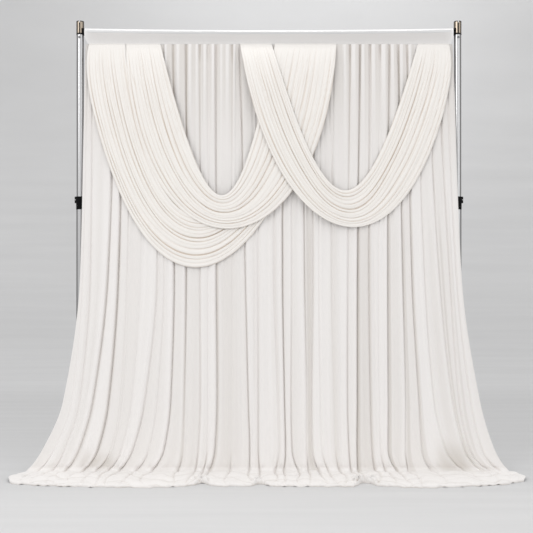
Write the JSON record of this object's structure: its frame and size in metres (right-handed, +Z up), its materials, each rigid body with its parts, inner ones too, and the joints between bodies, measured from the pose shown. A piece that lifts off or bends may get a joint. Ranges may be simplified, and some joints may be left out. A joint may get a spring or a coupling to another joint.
{
  "type": "swag curtain backdrop with stand",
  "caption": "Gathered floor-length curtain hung from a rod pocket, with overlapping swags across its top, on a telescopic pipe stand.",
  "frame": {"origin": "on the floor, midway between the uprights and midway from the hem's front edge to the back of the base plates", "axes": "+Z up, +X to the right as seen from the front, the curtain's front faces -Y"},
  "size_m": [3.3502, 0.7066, 3.05],
  "materials": {
    "base_plate": "powder-coated flat steel",
    "upright_tube": "bright polished tube",
    "clamp_collar": "moulded black plastic",
    "snap_button": "dull steel",
    "slotted_cap": "bronzed metal with bright edges",
    "crossbar_hook": "moulded black plastic",
    "crossbar_tube": "plain aluminium tube",
    "sleeve_cloth": "smooth knitted cloth, flat",
    "curtain_cloth": "smooth knitted cloth, gathered",
    "swag_cloth": "warm ivory knitted cloth in fine gathers"
  },
  "bodies": {
    "root": {"base_left": "base_plate", "base_right": "base_plate", "lower_tube_left": "upright_tube", "lower_tube_right": "upright_tube", "upper_tube_left": "upright_tube", "upper_tube_right": "upright_tube", "collar_left": "clamp_collar", "collar_right": "clamp_collar", "button_left": "snap_button", "button_right": "snap_button", "cap_left": "slotted_cap", "cap_right": "slotted_cap", "hook_left": "crossbar_hook", "hook_right": "crossbar_hook", "crossbar": "crossbar_tube", "header_sleeve": "sleeve_cloth", "curtain": "curtain_cloth", "swag_left_lower": "swag_cloth", "swag_left_upper": "swag_cloth", "swag_right": "swag_cloth"}
  },
  "joints": []
}
